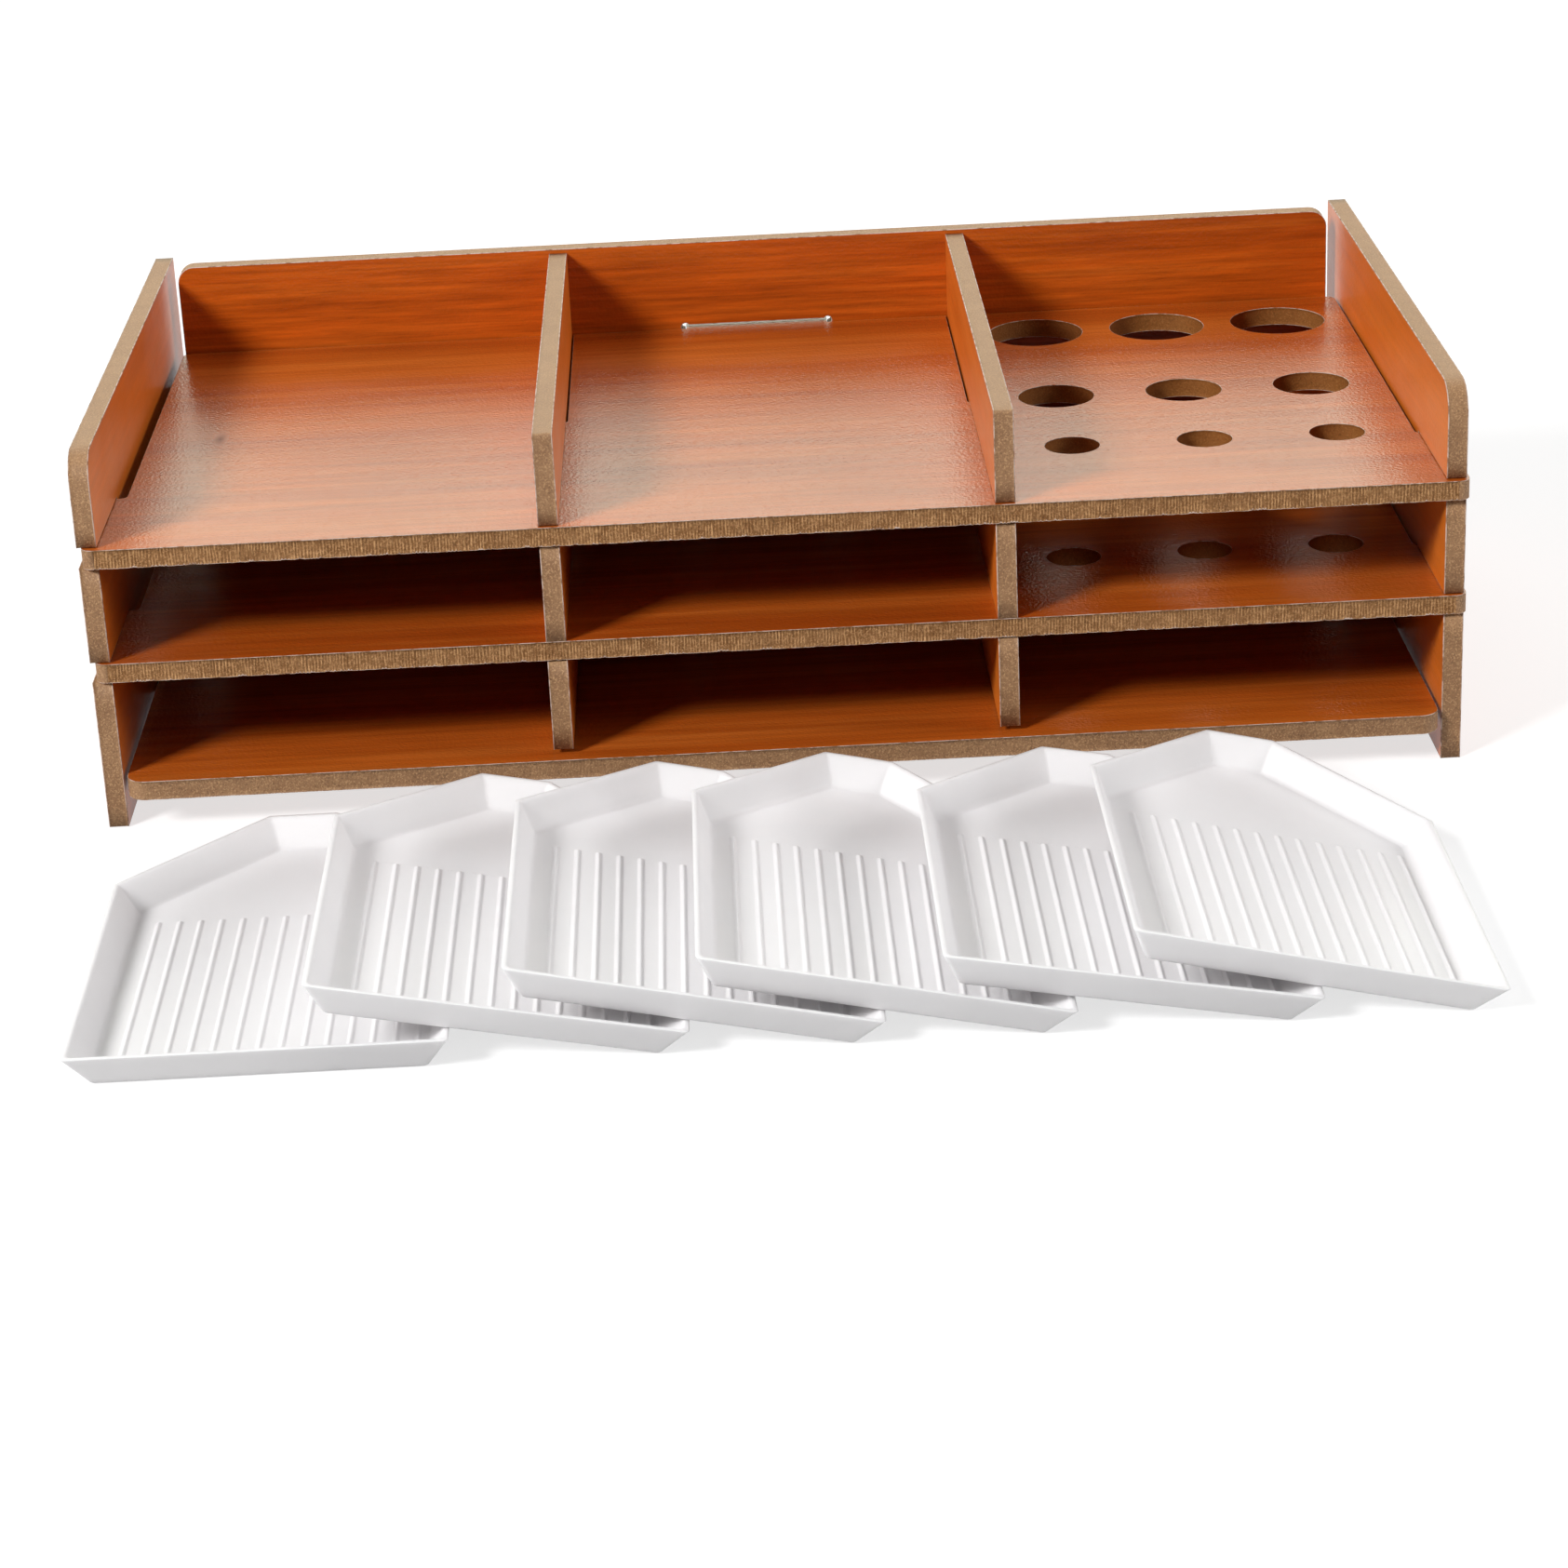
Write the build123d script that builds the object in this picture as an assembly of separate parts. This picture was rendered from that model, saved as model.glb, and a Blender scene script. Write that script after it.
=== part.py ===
from build123d import *
import math
import os

# Desk rack of slotted boards with six loose pouring trays laid in an overlapping row before it.
# Millimetres, +Z up, the rack's open front towards -Y. Rack sizes are taken from the front face
# of the side boards (y = 0) and the floor (z = 0); the whole set is centred at the end.

# Boards
board_t = 5.0            # thickness of every board
rack_width = 340.0       # over the outer faces of the two sides
side_depth = 184.0       # side boards, front to back
foot_height = 8.8        # clear space under the bottom shelf
bay_height = 25.0        # clear height of a tray bay
top_rise = 23.6          # sides above the top shelf
panel_front = 167.4      # front face of the back panel
panel_gap = 3.0          # back panel to each side
panel_lift = 1.2         # back panel above the floor
shelf_shift = 0.9        # shelves and dividers sit this far to the right

# Joints between the boards
ear_depth = 38.0         # depth of a shelf's ears, which fill the notches of the sides
ear_short = 0.1          # an ear is shorter than the rack's half width by this much
shelf_gap = 1.7          # shelf edge behind the ears to the side
shelf_back = 0.5         # rear edge of the two upper shelves to the back panel
notch_clear = 0.5        # behind an ear
seat_clear = 0.2         # above a board in its notch or mortise
lap_part = 0.5           # part of the rack's depth where the cross laps meet
lap_clear = 0.5          # each side of a divider in a shelf's slot
lap_under = 0.35         # under a shelf in a divider's notch
lap_over = 0.15          # over the top shelf in a divider's notch
bottom_gap = 1.0         # bottom shelf to each side
divider_gap = 1.3        # divider above the bottom shelf
divider_tenon = 50.0     # length of a divider's foot tenon
divider_tenon_y = 70.0   # front end of that tenon
end_tenon = 50.0         # length of the bottom shelf's end tenons
end_tenon_y = 70.0       # front end of those tenons
panel_tenon = 30.0       # length of the back panel's end tenons
panel_tenon_z = 33.0     # lower end of those tenons
back_tenon = 40.0        # width of a shelf's back tenon
mortise_clear = 0.2      # round a tenon
mortise_over = 0.9       # over a shelf's back tenon
relief_r = 1.1           # corner reliefs of the back mortises
tenon_short = 0.2        # a tenon stops short of the far face by this much

# How far each board stands forward of the sides
top_proud = 1.9
middle_proud = 1.0
bottom_proud = 5.0
divider_proud = 1.0

# Rounded corners
side_r = 8.0             # front top corner of a side
divider_r = 1.0          # front top corner of a divider
panel_r = 4.5            # corners of the back panel
ear_r = 3.0              # corners of an ear
ear_root_r = 1.5         # corner behind an ear
shelf_rear_r = 2.5       # rear corners of a shelf
bottom_r = 5.0           # front corners of the bottom shelf

# Tool holes in the right bay
hole_x = 111.1           # middle column
hole_pitch = 33.8        # column to column
small_r = 7.0
small_y = 42.0
medium_r = 10.0
medium_y = 84.8
large_r = 13.0
large_y = 145.2

# Trays
tray_width = 84.0
tray_length = 130.0
tray_height = 8.5
tray_flare = 5.2         # slope of the walls, from base to rim
tray_wall = 1.4
tray_floor = 1.5
tray_edge_r = 1.2        # rounding of the corners between the walls
spout_width = 17.0       # flat end of the spout
shoulder = 37.0          # spout end to the shoulders
ridge_count = 14
ridge_pitch = 5.0
ridge_width = 1.9
ridge_height = 0.5
ridge_start = 5.4        # floor's left edge to the first ridge
ridge_top = 45.0         # spout end to the ridges
ridge_sink = 0.4         # a ridge runs this far into the floor and the end wall
step_2 = 50.5            # right edge of each tray to the right edge of the one before
step_3 = 42.4
step_4 = 41.5
step_5 = 53.8
step_6 = 39.8
row_left = -161.0        # left rim of the first tray
row_front = 18.0         # spout ends to the front of the sides
tray_clear = 0.3         # between trays that lie on one another

# Levels and positions that follow
bottom_z = foot_height
middle_z = bottom_z + board_t + bay_height
top_z = middle_z + board_t + bay_height
rack_height = top_z + board_t + top_rise
half = rack_width / 2
inner = half - board_t
bay_width = (2 * inner - 2 * board_t) / 3
divider_x = ((bay_width + board_t) / 2)
divider_xs = (shelf_shift - divider_x, shelf_shift + divider_x)
lap_y = panel_front * lap_part
ear_half = half - ear_short
shelf_half = inner - shelf_gap
panel_half = inner - panel_gap
shelf_rear = panel_front - shelf_back
tenon_end = half - tenon_short
tenon_back = panel_front + board_t - tenon_short
near = board_t / 100


def box_at(x0, x1, y0, y1, z0, z1):
    """A block between two corners."""
    return Pos((x0 + x1) / 2, (y0 + y1) / 2, (z0 + z1) / 2) * Box(x1 - x0, y1 - y0, z1 - z0)


def round_uprights(solid, points, r):
    """Round the edges along Z that stand at the given x, y points."""
    found = []
    for edge in solid.edges().filter_by(Axis.Z):
        c = edge.center()
        found += [edge for x, y in points if abs(c.X - x) < near and abs(c.Y - y) < near]
    return fillet(found, r)


def edges_along(solid, axis, a, b):
    """The edges along X or Y that stand at a point of the other two axes."""
    found = []
    for edge in solid.edges().filter_by(axis):
        c = edge.center()
        at = (c.Y, c.Z) if axis == Axis.X else (c.X, c.Z)
        if abs(at[0] - a) < near and abs(at[1] - b) < near:
            found.append(edge)
    return found


def make_side(sign):
    """A side board: feet, front notches for the shelf ears, mortises for the end tenons."""
    x0, x1 = sorted((sign * inner, sign * half))
    x_in, x_out = x0 - board_t, x1 + board_t
    side = box_at(x0, x1, 0, side_depth, 0, rack_height)
    side = fillet(edges_along(side, Axis.X, 0, rack_height), side_r)
    for z in (middle_z, top_z):
        side -= box_at(x_in, x_out, -board_t, ear_depth + notch_clear, z, z + board_t + seat_clear)
    side -= box_at(x_in, x_out, end_tenon_y - mortise_clear, end_tenon_y + end_tenon + mortise_clear,
                   bottom_z, bottom_z + board_t + seat_clear)
    side -= box_at(x_in, x_out, panel_front - mortise_clear, panel_front + board_t + mortise_clear,
                   panel_tenon_z, panel_tenon_z + panel_tenon + seat_clear)
    return side


def make_shelf(z, proud, holes):
    """A shelf with ears, back tenon and slots that lap the dividers."""
    mid = shelf_shift
    shelf = box_at(mid - ear_half, mid + ear_half, -proud, ear_depth, z, z + board_t)
    shelf += box_at(mid - shelf_half, mid + shelf_half, 0, shelf_rear, z, z + board_t)
    ears = [(mid + sign * ear_half, y) for sign in (-1, 1) for y in (-proud, ear_depth)]
    roots = [(mid + sign * shelf_half, ear_depth) for sign in (-1, 1)]
    rears = [(mid + sign * shelf_half, shelf_rear) for sign in (-1, 1)]
    shelf = round_uprights(shelf, ears, min(ear_r, (ear_half - shelf_half) / 2))
    shelf = round_uprights(shelf, roots, min(ear_root_r, (ear_half - shelf_half) / 3))
    shelf = round_uprights(shelf, rears, shelf_rear_r)
    shelf += box_at(-back_tenon / 2, back_tenon / 2, panel_front - board_t, tenon_back, z, z + board_t)
    for x in divider_xs:
        reach = board_t / 2 + lap_clear
        shelf -= box_at(x - reach, x + reach, lap_y, panel_front + board_t, z - board_t, z + 2 * board_t)
    for r, y in holes:
        for column in (-1, 0, 1):
            shelf -= Pos(hole_x + column * hole_pitch, y, z + board_t / 2) * Cylinder(r, 2 * board_t)
    return shelf


def make_bottom():
    """The bottom shelf, tenoned into the sides and the back panel."""
    reach = inner - bottom_gap
    z0, z1 = bottom_z, bottom_z + board_t
    shelf = box_at(-reach, reach, -bottom_proud, panel_front, z0, z1)
    shelf = round_uprights(shelf, [(sign * reach, -bottom_proud) for sign in (-1, 1)], bottom_r)
    shelf += box_at(-tenon_end, tenon_end, end_tenon_y, end_tenon_y + end_tenon, z0, z1)
    shelf += box_at(-back_tenon / 2, back_tenon / 2, panel_front - board_t, tenon_back, z0, z1)
    for x in divider_xs:
        wide = board_t / 2 + mortise_clear
        shelf -= box_at(x - wide, x + wide, divider_tenon_y - mortise_clear,
                        divider_tenon_y + divider_tenon + mortise_clear, z0 - board_t, z1 + board_t)
    return shelf


def make_divider(x):
    """A divider, notched from the front for the shelves, with a tenon in the bottom shelf."""
    x0, x1 = x - board_t / 2, x + board_t / 2
    floor_z = bottom_z + board_t
    board = box_at(x0, x1, -divider_proud, panel_front, floor_z + divider_gap, rack_height)
    board = fillet(edges_along(board, Axis.X, -divider_proud, rack_height), divider_r)
    far = -divider_proud - board_t
    board -= box_at(x0 - board_t, x1 + board_t, far, lap_y, middle_z - lap_under, middle_z + board_t)
    board -= box_at(x0 - board_t, x1 + board_t, far, lap_y, top_z - lap_under, top_z + board_t + lap_over)
    board += box_at(x0, x1, divider_tenon_y, divider_tenon_y + divider_tenon,
                    bottom_z + tenon_short, floor_z + divider_gap + board_t)
    return board


def make_panel():
    """The back panel: end tenons for the sides, relieved mortises for the shelves."""
    y0, y1 = panel_front, panel_front + board_t
    z0, z1 = panel_lift, panel_lift + rack_height
    panel = box_at(-panel_half, panel_half, y0, y1, z0, z1)
    corners = []
    for sign in (-1, 1):
        for z in (z0, z1):
            corners += edges_along(panel, Axis.Y, sign * panel_half, z)
    panel = fillet(corners, panel_r)
    panel += box_at(-tenon_end, tenon_end, y0, y1, panel_tenon_z, panel_tenon_z + panel_tenon)
    wide = back_tenon / 2 + mortise_clear
    for z in (bottom_z, middle_z, top_z):
        low, high = z - mortise_clear, z + board_t + mortise_over
        panel -= box_at(-wide, wide, y0 - board_t, y1 + board_t, low, high)
        for sign in (-1, 1):
            for level in (low + relief_r / 2, high - relief_r / 2):
                bore = Rot(90, 0, 0) * Cylinder(relief_r, 3 * board_t)
                panel -= Pos(sign * wide, (y0 + y1) / 2, level) * bore
    return panel


def tray_outline(inset, z):
    """The tray's plan drawn in by inset, at height z, spout end at y = 0, as a face."""
    w, l, s, d = tray_width / 2, tray_length, spout_width / 2, shoulder
    run = math.hypot(w - s, d)
    fall = d / run
    side_x = w - inset
    tip_y = -inset
    end_y = -l + inset
    slope = (w - s) / d
    tip_x = s + slope * inset - inset / fall
    shoulder_y = -(w - inset - s + inset / fall) / slope
    points = [(-tip_x, tip_y), (tip_x, tip_y), (side_x, shoulder_y), (side_x, end_y),
              (-side_x, end_y), (-side_x, shoulder_y)]
    return Pos(0, 0, z) * make_face(Polyline(*points, close=True))


def make_tray():
    """A pouring tray: house-shaped flared shell with a ridged floor."""
    rise = tray_flare / tray_height
    base_in = tray_flare
    floor_in = tray_wall + rise * (tray_height - tray_floor)
    over = tray_wall
    top_in = tray_wall - rise * over
    shell = loft([tray_outline(base_in, 0), tray_outline(0, tray_height)], ruled=True)
    hollow = loft([tray_outline(floor_in, tray_floor), tray_outline(top_in, tray_height + over)], ruled=True)
    shell = fillet([e for e in shell.edges() if e.bounding_box().size.Z > tray_height / 2], tray_edge_r)
    hollow = fillet([e for e in hollow.edges() if e.bounding_box().size.Z > tray_height / 2], tray_edge_r)
    tray = shell - hollow
    floor_half = tray_width / 2 - floor_in
    y0 = -tray_length + floor_in - rise * ridge_height - ridge_sink
    for n in range(ridge_count):
        x = -floor_half + ridge_start + n * ridge_pitch
        low = tray_floor - ridge_sink
        section = Plane.XZ * Polyline((x - ridge_width / 2, low), (x - ridge_width / 2, tray_floor),
                                      (x, tray_floor + ridge_height), (x + ridge_width / 2, tray_floor),
                                      (x + ridge_width / 2, low), close=True)
        ridge = extrude(make_face(section), amount=-ridge_top - y0, dir=(0, -1, 0))
        tray += Pos(0, -ridge_top, 0) * ridge
    return tray


def tray_places():
    """Floor position of each tray's right base edge and its tilt: each leans on the last one's rim."""
    base_width = tray_width - 2 * tray_flare
    places = [(row_left + tray_width - tray_flare, 0.0)]
    for step in (step_2, step_3, step_4, step_5, step_6):
        x_last, tilt_last = places[-1]
        c, s = math.cos(tilt_last), math.sin(tilt_last)
        a = step - (tray_flare * c + tray_height * s)
        b = tray_height * c - tray_flare * s
        on_right_rim = math.atan2(b, a) + math.asin(tray_clear / math.hypot(a, b))
        on_end_rims = tilt_last + math.asin((tray_clear + b * c - a * s) / base_width)
        places.append((x_last + step, max(on_right_rim, on_end_rims)))
    return places


parts = {
    "left_side": make_side(-1),
    "right_side": make_side(1),
    "left_divider": make_divider(divider_xs[0]),
    "right_divider": make_divider(divider_xs[1]),
    "top_shelf": make_shelf(top_z, top_proud, ((small_r, small_y), (medium_r, medium_y), (large_r, large_y))),
    "middle_shelf": make_shelf(middle_z, middle_proud, ((small_r, small_y),)),
    "bottom_shelf": make_bottom(),
    "back_panel": make_panel(),
}
tray = make_tray()
base_edge = tray_width / 2 - tray_flare
for n, (x, tilt) in enumerate(tray_places()):
    turned = Rot(0, math.degrees(tilt), 0) * Pos(-base_edge, -row_front, 0) * tray
    parts["tray_%d" % (n + 1)] = Pos(x, 0, 0) * turned

# Centre the set over the origin.
boxes = [p.bounding_box() for p in parts.values()]
mid_x = (min(b.min.X for b in boxes) + max(b.max.X for b in boxes)) / 2
mid_y = (min(b.min.Y for b in boxes) + max(b.max.Y for b in boxes)) / 2
low_z = min(b.min.Z for b in boxes)
os.makedirs("parts", exist_ok=True)
for name, shape in parts.items():
    moved = Pos(-mid_x, -mid_y, -low_z) * shape
    solids = moved.solids()
    print(name, "solids", len(solids), "volume", round(sum(s.volume for s in solids), 1))
    solids[0].label = name
    export_step(solids[0], "parts/" + name + ".step")
print("set centre moved by", round(-mid_x, 4), round(-mid_y, 4), round(-low_z, 4))
print("tilts", [round(math.degrees(t), 3) for _, t in tray_places()])
print("divider x", [round(x - mid_x, 4) for x in divider_xs], "bay width", round(bay_width, 4))
print("levels", bottom_z, middle_z, top_z, rack_height)
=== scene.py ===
import math

import bpy
import numpy as np
from mathutils import Matrix, Vector
from mathutils.geometry import tessellate_polygon


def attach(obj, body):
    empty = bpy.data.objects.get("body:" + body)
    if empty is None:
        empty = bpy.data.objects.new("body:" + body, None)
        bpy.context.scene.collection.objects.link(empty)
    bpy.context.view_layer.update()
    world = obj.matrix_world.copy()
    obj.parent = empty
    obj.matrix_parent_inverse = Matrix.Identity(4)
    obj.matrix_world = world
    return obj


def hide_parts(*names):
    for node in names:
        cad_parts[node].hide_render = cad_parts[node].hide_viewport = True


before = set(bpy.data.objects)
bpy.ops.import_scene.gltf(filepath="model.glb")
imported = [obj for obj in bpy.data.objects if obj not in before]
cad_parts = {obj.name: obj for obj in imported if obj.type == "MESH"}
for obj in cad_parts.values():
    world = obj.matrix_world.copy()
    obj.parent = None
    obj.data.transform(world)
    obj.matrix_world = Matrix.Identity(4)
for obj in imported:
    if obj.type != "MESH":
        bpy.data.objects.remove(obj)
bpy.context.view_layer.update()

# Sizes, in millimetres
# Rack sizes run from the front face of the sides (y = 0), the floor (z = 0) and the rack's middle;
# SET_SHIFT brings them to the centre of the whole set.
MM = 0.001
SET_SHIFT = np.array([-0.40, -18.0, 0.0])

BOARD = 5.0
HALF_WIDTH = 170.0
SIDE_DEPTH = 184.0
SIDE_TOP = 97.4
SIDE_ROUND = 8.0
BOTTOM_Z, MIDDLE_Z, TOP_Z = 8.8, 38.8, 68.8
PLAY = 0.2               # room round a tongue or ear in its slot

# Upper shelves
SHELF_MID = 0.9
TOP_PROUD, MIDDLE_PROUD = 1.9, 1.0   # how far each stands out before the sides
EAR_HALF = 169.9         # half the width over the ears
EAR_DEPTH = 38.0
EAR_ROUND, EAR_FILLET = 3.0, 1.5
SHELF_HALF = 163.3       # half the width behind the ears
SHELF_ROUND = 2.5
JOINT = 0.5              # open line between an upper shelf and the back panel
TONGUE_HALF = 20.0
TONGUE_END = 172.2
NOTCH_DEPTH = 38.5       # a side's open notch for an ear

# Dividers and their half laps
DIVIDER_X = (-54.9333, 56.7333)
DIVIDER_FRONT = -1.0
DIVIDER_LOW = 15.1
DIVIDER_ROUND = 1.0
DIVIDER_FOOT = 9.0       # underside of the foot tongue
LAP_Y = 83.7
LAP_HALF = 3.0           # half the width of a shelf's lap slot
LAP_ROUND = 0.6
TOP_LAP, MIDDLE_LAP = (68.45, 73.95), (38.45, 43.8)
FOOT_SLOT_HALF = 2.7

# Holes: three columns, and each row's distance back and radius
HOLE_COLUMNS = (77.3, 111.1, 144.9)
SMALL_ROW, MEDIUM_ROW, LARGE_ROW = (42.0, 7.0), (84.8, 10.0), (145.2, 13.0)

# Bottom shelf
BOTTOM_HALF = 164.0
BOTTOM_FRONT = -5.0
BOTTOM_ROUND = 5.0
END_TONGUE = 169.8       # reach of the end tongues of the bottom shelf and the back panel
TONGUE_FROM, TONGUE_TO = 70.0, 120.0

# Back panel
PANEL_FRONT = 167.4
PANEL_HALF = 162.0
PANEL_LOW, PANEL_TOP = 1.2, 98.6
PANEL_ROUND = 4.5
PANEL_TONGUE_LOW, PANEL_TONGUE_TOP = 33.0, 63.0
RELIEF_ROUND = 1.1       # corner relief of a back slot
SLOT_HEADROOM = 0.9      # room over a tongue in its back slot

# Trays
TRAY_WIDTH = 84.0
TRAY_LENGTH = 130.0
TRAY_HEIGHT = 8.5
TRAY_FLARE = 5.2
TRAY_WALL = 1.4
TRAY_FLOOR = 1.5
TRAY_EDGE = 36.8         # half the width of the base
TRAY_ROUND = 1.2
SPOUT_HALF = 8.5
SHOULDER = 37.0
ROW_FRONT = 18.0
RIDGES = 14
RIDGE_PITCH = 5.0
RIDGE_FIRST = 5.4        # the first ridge from the floor's edge
RIDGE_HALF = 0.95
RIDGE_HEIGHT = 0.5
# Place of each tray's right base edge across the rack, and its lean in degrees.
TRAY_PLACES = ((-82.2, 0.0), (-31.7, 11.0001), (10.7, 12.1160), (52.2, 12.2608), (106.0, 10.2165),
               (145.8, 13.1510))

# Fineness of the meshes
ARC_POINTS = 7
HOLE_POINTS = 48
RELIEF_POINTS = 13
SAWN_STEP, FLAT_STEP, UPRIGHT_STEP = 0.2, 8.0, 6.0


# Shader tools
def place(tree, kind, inputs=None, **settings):
    """Add a node, set its options, and feed its inputs from sockets or plain values."""
    node = tree.nodes.new(kind)
    for key, value in settings.items():
        setattr(node, key, value)
    for key, value in (inputs or {}).items():
        if isinstance(value, bpy.types.NodeSocket):
            tree.links.new(value, node.inputs[key])
        else:
            node.inputs[key].default_value = value
    return node


def object_place(tree):
    """The point on the piece, in its own coordinates."""
    return place(tree, "ShaderNodeTexCoord").outputs["Object"]


def math_node(tree, operation, *terms):
    """One arithmetic step."""
    return place(tree, "ShaderNodeMath", dict(enumerate(terms)), operation=operation).outputs[0]


def vector_node(tree, operation, *terms, result="Vector"):
    """One step on vectors."""
    return place(tree, "ShaderNodeVectorMath", dict(enumerate(terms)), operation=operation).outputs[result]


def spread(tree, value, low, high, to_low=0.0, to_high=1.0):
    """Stretch a value from low..high to to_low..to_high, held at the ends. Used on noise it makes a
    mask that begins at low, is full at high and has the strength to_high."""
    return place(tree, "ShaderNodeMapRange",
                 {"Value": value, "From Min": low, "From Max": high, "To Min": to_low, "To Max": to_high}
                 ).outputs["Result"]


def blend_colours(tree, share, first, second, how="MIX"):
    """Mix two colours by a share."""
    return place(tree, "ShaderNodeMix", {0: share, 6: first, 7: second}, data_type="RGBA",
                 blend_type=how).outputs[2]


def noise(tree, where, cells, detail=2.0, rough=0.5, twist=0.0):
    """Soft three-way noise at a number of cells to the metre."""
    return place(tree, "ShaderNodeTexNoise",
                 {"Vector": where, "Scale": cells, "Detail": detail, "Roughness": rough, "Distortion": twist}
                 ).outputs["Fac"]


def drawn_noise(tree, where, along, across, detail, rough, twist=0.0):
    """Noise drawn out along the first axis: cells to the metre along it and across it."""
    cells = (along, across, across)
    stretched = place(tree, "ShaderNodeMapping", {"Vector": where, "Scale": cells}).outputs[0]
    return noise(tree, stretched, 1.0, detail, rough, twist)


def raise_skin(tree, shader, height, strength, distance):
    """Let a height tilt the shader's normal."""
    bump = place(tree, "ShaderNodeBump", {"Height": height, "Strength": strength, "Distance": distance})
    tree.links.new(bump.outputs["Normal"], shader.inputs["Normal"])


def new_group(name, inputs, outputs):
    """An empty node group with its named sockets."""
    group = bpy.data.node_groups.new(name, "ShaderNodeTree")
    for in_out, sockets in (("INPUT", inputs), ("OUTPUT", outputs)):
        for label, kind in sockets.items():
            group.interface.new_socket(name=label, in_out=in_out, socket_type="NodeSocket" + kind)
    given = group.nodes.new("NodeGroupInput")
    return group, given.outputs, group.nodes.new("NodeGroupOutput").inputs


def use_group(tree, group, inputs):
    """Place a node group and feed it."""
    return place(tree, "ShaderNodeGroup", inputs, node_tree=group).outputs


def new_material(name):
    """An empty material with its Principled shader joined up."""
    material = bpy.data.materials.new(name)
    material.use_nodes = True
    tree = material.node_tree
    tree.nodes.clear()
    shader = tree.nodes.new("ShaderNodeBsdfPrincipled")
    out = tree.nodes.new("ShaderNodeOutputMaterial")
    tree.links.new(shader.outputs["BSDF"], out.inputs["Surface"])
    return material, tree, shader


# Shared effects
def printed_grain():
    """Wood print: slow bands, finer lines and streaks and short pores, all drawn out along the first
    axis. Depth is the strength of the streaks and pores."""
    group, given, out = new_group(
        "printed_grain",
        {"Vector": "Vector", "Dark": "Color", "Mid": "Color", "Light": "Color", "Depth": "Float"},
        {"Color": "Color"})
    where, dark, mid, light = (given[label] for label in ("Vector", "Dark", "Mid", "Light"))
    bands = drawn_noise(group, where, 2.2, 26.0, detail=3.0, rough=0.55, twist=0.35)
    lines = drawn_noise(group, where, 8.0, 170.0, detail=2.0, rough=0.5, twist=0.25)
    streaks = drawn_noise(group, where, 24.0, 560.0, detail=3.0, rough=0.6)
    pores = drawn_noise(group, where, 150.0, 2300.0, detail=1.0, rough=0.5)
    print_tone = blend_colours(group, spread(group, bands, 0.28, 0.48), dark, mid)
    print_tone = blend_colours(group, spread(group, bands, 0.50, 0.70), print_tone, light)
    print_tone = blend_colours(group, spread(group, lines, 0.52, 0.76, 0.0, 0.55), print_tone, dark)
    print_tone = blend_colours(group, spread(group, lines, 0.48, 0.28, 0.0, 0.70), print_tone, light)
    shade = spread(group, streaks, 0.25, 0.75, -0.30, 0.26)
    pits = spread(group, pores, 0.60, 0.75, 0.0, -0.12)
    level = math_node(group, "MULTIPLY_ADD", math_node(group, "ADD", shade, pits), given["Depth"], 1.0)
    grey = place(group, "ShaderNodeCombineColor", {0: level, 1: level, 2: level}).outputs[0]
    group.links.new(blend_colours(group, 1.0, print_tone, grey, "MULTIPLY"), out["Color"])
    return group


def pebble():
    """Fine orange-peel skin: rounded cells about a millimetre wide, and slow patches of gloss."""
    group, given, out = new_group("pebble", {"Vector": "Vector", "Cells": "Float"},
                                  {"Height": "Float", "Patch": "Float"})
    group.links.new(noise(group, given["Vector"], given["Cells"], 1.5, 0.5), out["Height"])
    group.links.new(noise(group, given["Vector"], 34.0, 3.0, 0.55), out["Patch"])
    return group


def pressed_fibre():
    """Raw pressed board: mixed flecks of pale and dark fibre over slow clouds of tone."""
    group, given, out = new_group(
        "pressed_fibre", {"Vector": "Vector", "Base": "Color", "Pale": "Color", "Dark": "Color"},
        {"Color": "Color", "Height": "Float"})
    where, base, pale, dark = (given[label] for label in ("Vector", "Base", "Pale", "Dark"))
    clouds = noise(group, where, 150.0, 3.0, 0.6)
    flecks = noise(group, where, 2300.0, 2.0, 0.65)
    specks = noise(group, where, 1900.0, 1.0, 0.5)
    colour = blend_colours(group, spread(group, clouds, 0.3, 0.7, 0.0, 0.22), base, pale)
    colour = blend_colours(group, spread(group, flecks, 0.51, 0.65, 0.0, 0.60), colour, pale)
    colour = blend_colours(group, spread(group, specks, 0.58, 0.70, 0.0, 0.42), colour, dark)
    group.links.new(colour, out["Color"])
    group.links.new(math_node(group, "ADD", flecks, clouds), out["Height"])
    return group


GRAIN, PEBBLE, FIBRE = printed_grain(), pebble(), pressed_fibre()


# Materials
# Tones of the wood print, dark to light: shelves, the redder back panel, and the upright boards, made
# brighter as painted light.
FILM_TONES = ((0.315, 0.053, 0.0046, 1), (0.433, 0.090, 0.0085, 1), (0.51, 0.125, 0.0160, 1))
BACK_TONES = ((0.30, 0.047, 0.0024, 1), (0.45, 0.081, 0.0048, 1), (0.53, 0.114, 0.0095, 1))
UPRIGHT_PAINTED_LIGHT_TONES = ((0.54, 0.118, 0.0080, 1), (0.61, 0.143, 0.0110, 1), (0.66, 0.170, 0.0160, 1))
KNOT_TONE = (0.16, 0.050, 0.022, 1)
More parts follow.
